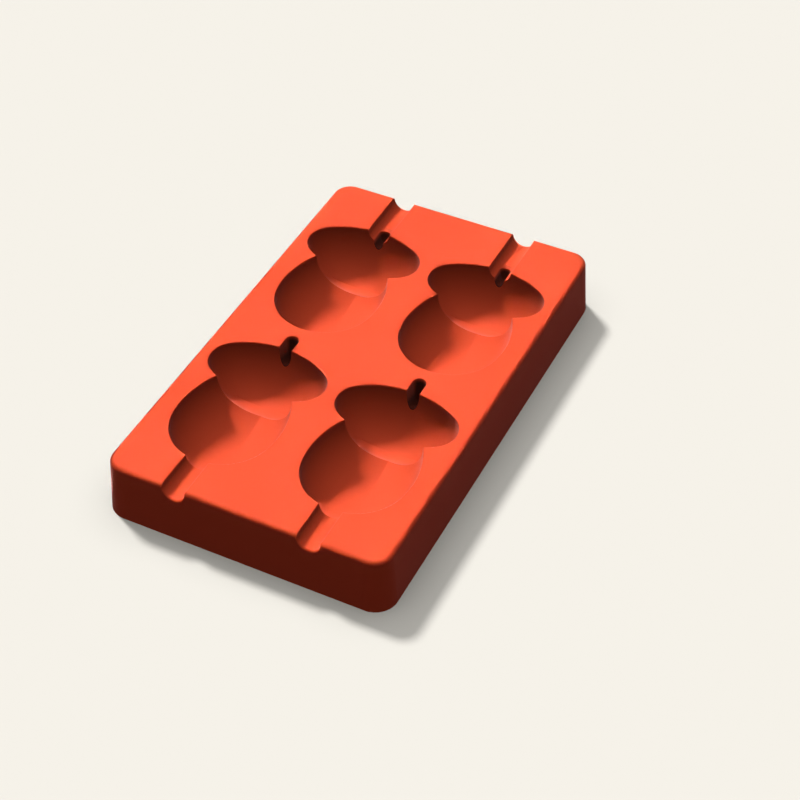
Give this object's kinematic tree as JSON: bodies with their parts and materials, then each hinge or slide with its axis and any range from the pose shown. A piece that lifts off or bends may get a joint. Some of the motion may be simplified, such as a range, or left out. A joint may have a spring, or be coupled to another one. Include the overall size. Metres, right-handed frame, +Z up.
{
  "type": "acorn cakesicle mold",
  "caption": "Rectangular silicone mold with acorn-shaped cavities, each a cap, a nut and a stem slot, and half-round stick channels out to both ends, for casting cakesicles.",
  "frame": {"origin": "middle of the flat underside", "axes": "+Z up out of the cavities, +Y along the mold from the nuts toward the stems, +X across it"},
  "size_m": [0.123, 0.2006, 0.0255],
  "materials": {
    "silicone": "matt orange-red silicone rubber with a very fine even texture"
  },
  "bodies": {
    "root": {"mold_body": "silicone"}
  },
  "joints": []
}
